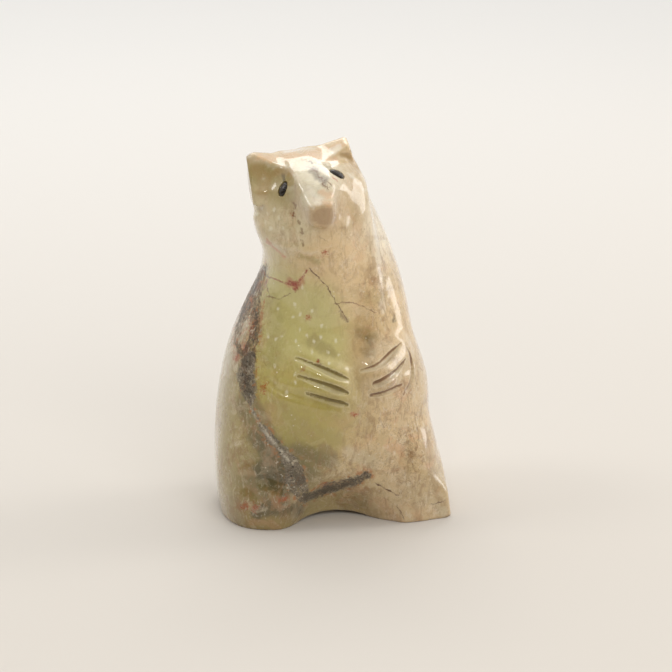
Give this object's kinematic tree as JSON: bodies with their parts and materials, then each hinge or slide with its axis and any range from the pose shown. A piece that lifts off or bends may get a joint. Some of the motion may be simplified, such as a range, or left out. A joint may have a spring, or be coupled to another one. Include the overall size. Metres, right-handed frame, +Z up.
{
  "type": "carved stone bear",
  "caption": "Upright bear figure carved from one block of veined soapstone, with small inlaid dark eyes and cut claws, about 125 mm tall.",
  "frame": {"origin": "on the floor, under the middle of the carving's box", "axes": "+Z up, along the carving's height; the bear faces -Y and its left is +X"},
  "size_m": [0.0778, 0.0579, 0.1254],
  "materials": {
    "veined_soapstone": "polished",
    "eye_stone": "gloss"
  },
  "bodies": {
    "root": {"bear_body": "veined_soapstone", "right_eye": "eye_stone", "left_eye": "eye_stone"}
  },
  "joints": []
}
